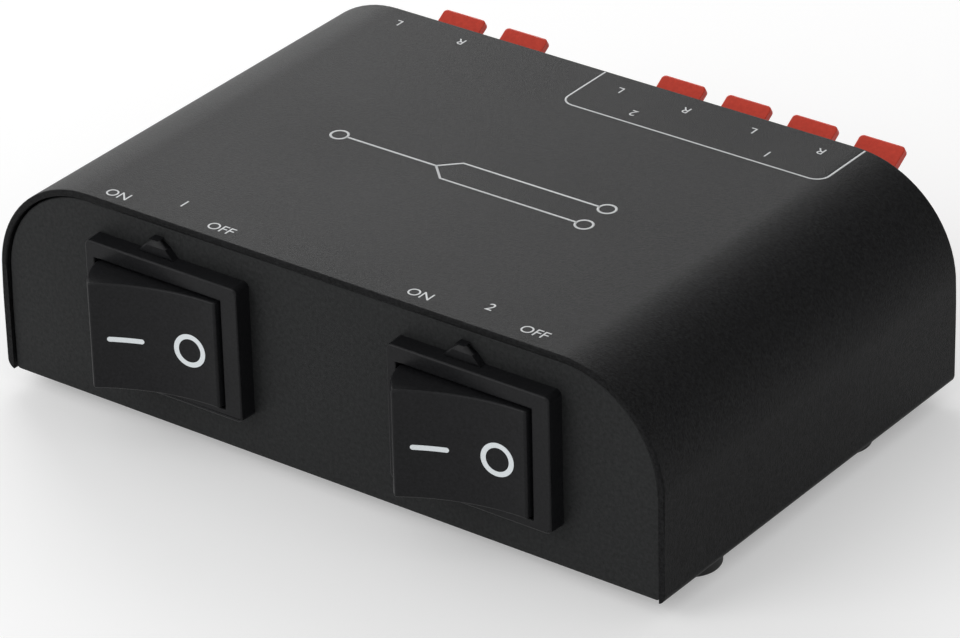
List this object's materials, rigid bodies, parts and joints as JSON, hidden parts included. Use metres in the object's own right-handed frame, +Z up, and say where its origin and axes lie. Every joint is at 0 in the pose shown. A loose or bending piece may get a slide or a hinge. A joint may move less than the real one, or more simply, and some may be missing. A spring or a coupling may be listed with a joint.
{
  "type": "loudspeaker selector switch",
  "caption": "Low steel box with rounded shoulders, rocker switches in front and rows of red and black spring lever wire terminals behind, for choosing loudspeaker pairs.",
  "frame": {"origin": "middle of the whole footprint, on the surface under the feet, from the proud edge of the rockers to the tips of the terminal tabs", "axes": "+X to the right as seen from the front, along the case; +Y from the rocker switches to the wire terminals; +Z up"},
  "size_m": [0.134, 0.109, 0.0413],
  "materials": {
    "cover_paint": "fine satin black powder coat",
    "panel_paint": "satin black paint",
    "rubber": "matt",
    "zinc_steel": "bright zinc",
    "switch_plastic": "fine satin moulding",
    "plunger_nylon": "satin",
    "brass": "plain",
    "spring_steel": "plain",
    "terminal_black": "satin moulding",
    "terminal_red": "satin red moulding",
    "wire_red": "insulation",
    "wire_cream": "insulation",
    "wire_black": "insulation"
  },
  "bodies": {
    "case": {"top_cover": "cover_paint", "chassis": "panel_paint", "feet": "rubber", "foot_screws": "zinc_steel", "switch_1_frame": "switch_plastic", "switch_1_blades": "brass", "switch_2_frame": "switch_plastic", "switch_2_blades": "brass", "input_block": "terminal_black", "input_contacts": "brass", "output_block": "terminal_black", "output_contacts": "brass", "terminal_screws": "zinc_steel", "terminal_nuts": "zinc_steel", "left_channel_wires": "wire_red", "right_channel_wires": "wire_cream", "return_wires": "wire_black"},
    "switch_1_rocker": {"switch_1_rocker": "switch_plastic", "switch_1_plungers": "plunger_nylon", "switch_1_springs": "spring_steel"},
    "switch_1_contacts": {"switch_1_rocking_contacts": "brass"},
    "switch_2_rocker": {"switch_2_rocker": "switch_plastic", "switch_2_plungers": "plunger_nylon", "switch_2_springs": "spring_steel"},
    "switch_2_contacts": {"switch_2_rocking_contacts": "brass"},
    "input_left_red_lever": {"input_left_red_lever": "terminal_red"},
    "input_left_black_lever": {"input_left_black_lever": "terminal_black"},
    "input_right_red_lever": {"input_right_red_lever": "terminal_red"},
    "input_right_black_lever": {"input_right_black_lever": "terminal_black"},
    "pair_2_left_red_lever": {"pair_2_left_red_lever": "terminal_red"},
    "pair_2_left_black_lever": {"pair_2_left_black_lever": "terminal_black"},
    "pair_2_right_red_lever": {"pair_2_right_red_lever": "terminal_red"},
    "pair_2_right_black_lever": {"pair_2_right_black_lever": "terminal_black"},
    "pair_1_left_red_lever": {"pair_1_left_red_lever": "terminal_red"},
    "pair_1_left_black_lever": {"pair_1_left_black_lever": "terminal_black"},
    "pair_1_right_red_lever": {"pair_1_right_red_lever": "terminal_red"},
    "pair_1_right_black_lever": {"pair_1_right_black_lever": "terminal_black"}
  },
  "joints": [
    {"name": "switch_1_rocker_rock", "type": "hinge", "parent": "case", "child": "switch_1_rocker", "pos_m": [-0.0308, -0.045, 0.0218], "axis": [0, 0, -1], "range_deg": [0, 33]},
    {"name": "switch_1_contacts_rock", "type": "hinge", "parent": "case", "child": "switch_1_contacts", "pos_m": [-0.0308, -0.0316, 0.0218], "axis": [0, 0, 1], "range_deg": [0, 16]},
    {"name": "switch_2_rocker_rock", "type": "hinge", "parent": "case", "child": "switch_2_rocker", "pos_m": [0.0308, -0.045, 0.0218], "axis": [0, 0, -1], "range_deg": [0, 33]},
    {"name": "switch_2_contacts_rock", "type": "hinge", "parent": "case", "child": "switch_2_contacts", "pos_m": [0.0308, -0.0316, 0.0218], "axis": [0, 0, 1], "range_deg": [0, 16]},
    {"name": "input_left_red_lever_press", "type": "hinge", "parent": "case", "child": "input_left_red_lever", "pos_m": [-0.0436, 0.0422, 0.0318], "axis": [-1, 0, 0], "range_deg": [0, 14], "stiffness_Nm_per_rad": 0.2, "springref_deg": -14.32},
    {"name": "input_left_black_lever_press", "type": "hinge", "parent": "case", "child": "input_left_black_lever", "pos_m": [-0.0436, 0.0422, 0.0122], "axis": [1, 0, 0], "range_deg": [0, 14], "stiffness_Nm_per_rad": 0.2, "springref_deg": -14.32},
    {"name": "input_right_red_lever_press", "type": "hinge", "parent": "case", "child": "input_right_red_lever", "pos_m": [-0.0302, 0.0422, 0.0318], "axis": [-1, 0, 0], "range_deg": [0, 14], "stiffness_Nm_per_rad": 0.2, "springref_deg": -14.32},
    {"name": "input_right_black_lever_press", "type": "hinge", "parent": "case", "child": "input_right_black_lever", "pos_m": [-0.0302, 0.0422, 0.0122], "axis": [1, 0, 0], "range_deg": [0, 14], "stiffness_Nm_per_rad": 0.2, "springref_deg": -14.32},
    {"name": "pair_2_left_red_lever_press", "type": "hinge", "parent": "case", "child": "pair_2_left_red_lever", "pos_m": [0.0031, 0.0422, 0.0318], "axis": [-1, 0, 0], "range_deg": [0, 14], "stiffness_Nm_per_rad": 0.2, "springref_deg": -14.32},
    {"name": "pair_2_left_black_lever_press", "type": "hinge", "parent": "case", "child": "pair_2_left_black_lever", "pos_m": [0.0031, 0.0422, 0.0122], "axis": [1, 0, 0], "range_deg": [0, 14], "stiffness_Nm_per_rad": 0.2, "springref_deg": -14.32},
    {"name": "pair_2_right_red_lever_press", "type": "hinge", "parent": "case", "child": "pair_2_right_red_lever", "pos_m": [0.0165, 0.0422, 0.0318], "axis": [-1, 0, 0], "range_deg": [0, 14], "stiffness_Nm_per_rad": 0.2, "springref_deg": -14.32},
    {"name": "pair_2_right_black_lever_press", "type": "hinge", "parent": "case", "child": "pair_2_right_black_lever", "pos_m": [0.0165, 0.0422, 0.0122], "axis": [1, 0, 0], "range_deg": [0, 14], "stiffness_Nm_per_rad": 0.2, "springref_deg": -14.32},
    {"name": "pair_1_left_red_lever_press", "type": "hinge", "parent": "case", "child": "pair_1_left_red_lever", "pos_m": [0.0299, 0.0422, 0.0318], "axis": [-1, 0, 0], "range_deg": [0, 14], "stiffness_Nm_per_rad": 0.2, "springref_deg": -14.32},
    {"name": "pair_1_left_black_lever_press", "type": "hinge", "parent": "case", "child": "pair_1_left_black_lever", "pos_m": [0.0299, 0.0422, 0.0122], "axis": [1, 0, 0], "range_deg": [0, 14], "stiffness_Nm_per_rad": 0.2, "springref_deg": -14.32},
    {"name": "pair_1_right_red_lever_press", "type": "hinge", "parent": "case", "child": "pair_1_right_red_lever", "pos_m": [0.0433, 0.0422, 0.0318], "axis": [-1, 0, 0], "range_deg": [0, 14], "stiffness_Nm_per_rad": 0.2, "springref_deg": -14.32},
    {"name": "pair_1_right_black_lever_press", "type": "hinge", "parent": "case", "child": "pair_1_right_black_lever", "pos_m": [0.0433, 0.0422, 0.0122], "axis": [1, 0, 0], "range_deg": [0, 14], "stiffness_Nm_per_rad": 0.2, "springref_deg": -14.32}
  ],
  "couplings": [
    {"joint": "switch_1_contacts_rock", "follows": "switch_1_rocker_rock", "ratio": 0.4848},
    {"joint": "switch_2_contacts_rock", "follows": "switch_2_rocker_rock", "ratio": 0.4848}
  ]
}
